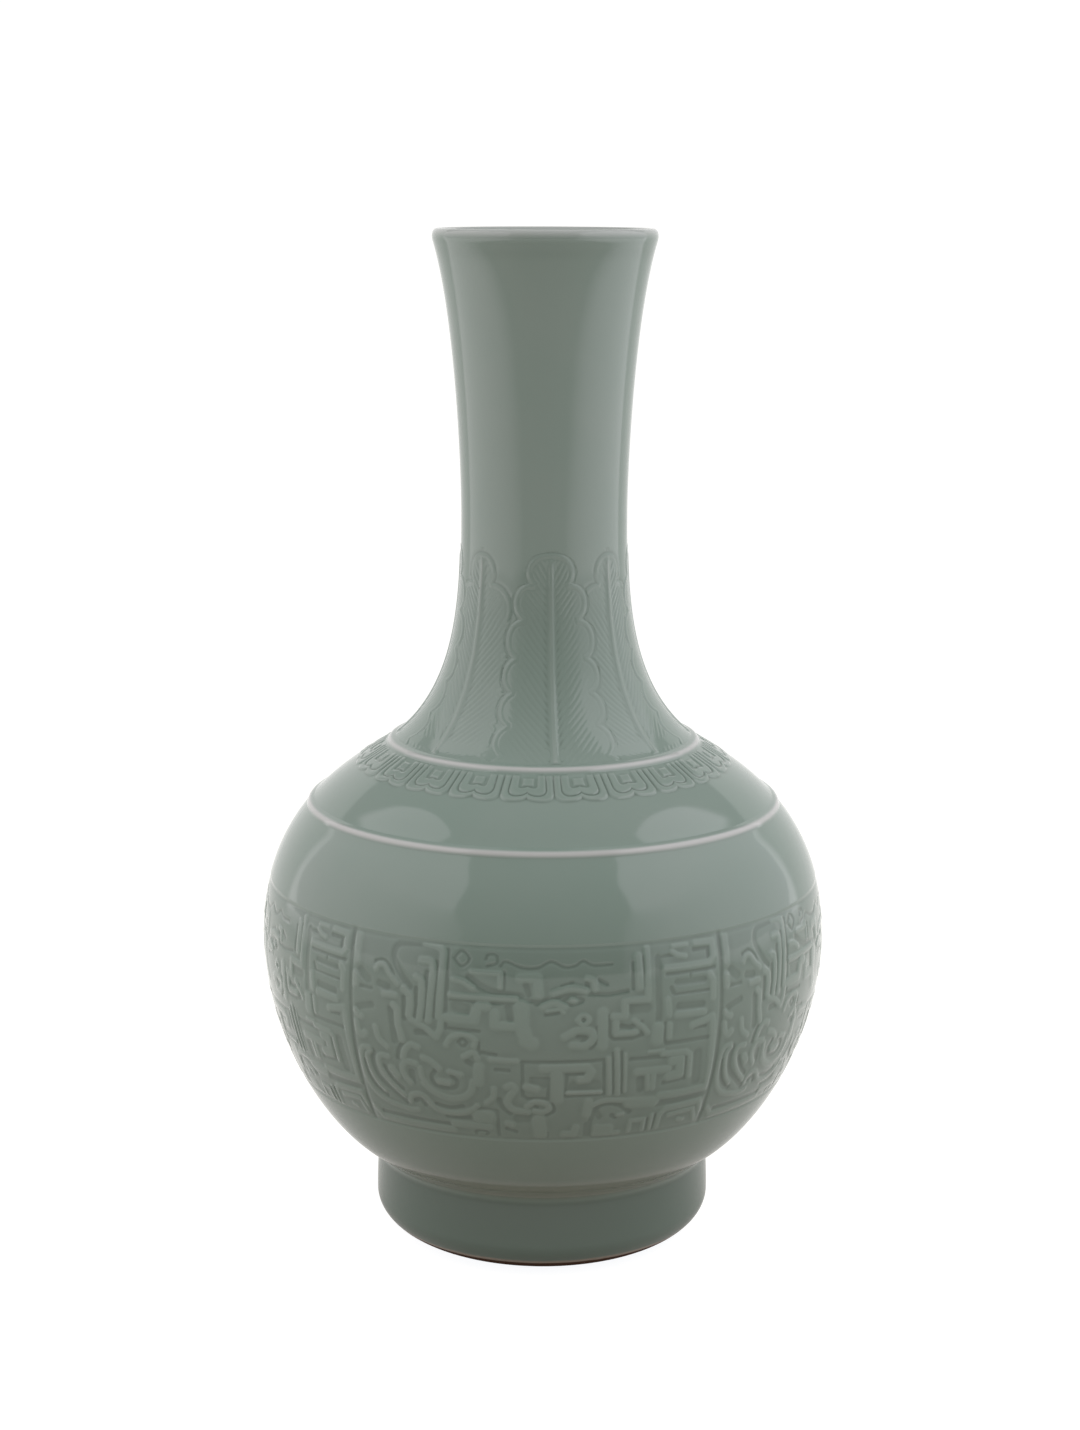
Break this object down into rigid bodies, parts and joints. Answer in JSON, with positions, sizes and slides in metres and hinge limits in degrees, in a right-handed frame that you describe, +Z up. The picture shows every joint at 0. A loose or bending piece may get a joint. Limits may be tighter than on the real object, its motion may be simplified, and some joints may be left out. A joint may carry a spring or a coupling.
{
  "type": "bottle vase",
  "caption": "Celadon-glazed porcelain bottle vase: globular body on a straight foot, long waisted neck with a flared mouth, and moulded leaf, lappet and fret relief.",
  "frame": {"origin": "centre of the rim that the vase stands on, at the level of the surface under it", "axes": "+Z up along the axis of the vase, through the mouth; -Y towards the viewer of the picture, +X to the viewer's right"},
  "size_m": [0.2794, 0.2794, 0.5],
  "materials": {
    "celadon_glaze": "grey-green celadon glaze, glossy and even, paler where it thins on raised edges"
  },
  "bodies": {
    "root": {"foot_ring": "celadon_glaze", "lower_body": "celadon_glaze", "upper_body": "celadon_glaze", "neck": "celadon_glaze", "neck_rib": "celadon_glaze", "shoulder_rib": "celadon_glaze", "lappet_collar": "celadon_glaze", "plantain_leaf_1": "celadon_glaze", "plantain_leaf_2": "celadon_glaze", "plantain_leaf_3": "celadon_glaze", "plantain_leaf_4": "celadon_glaze", "plantain_leaf_5": "celadon_glaze", "plantain_leaf_6": "celadon_glaze", "plantain_leaf_7": "celadon_glaze", "plantain_leaf_8": "celadon_glaze", "band_panel_1": "celadon_glaze", "band_panel_2": "celadon_glaze", "band_panel_3": "celadon_glaze", "band_panel_4": "celadon_glaze", "band_panel_5": "celadon_glaze"}
  },
  "joints": []
}
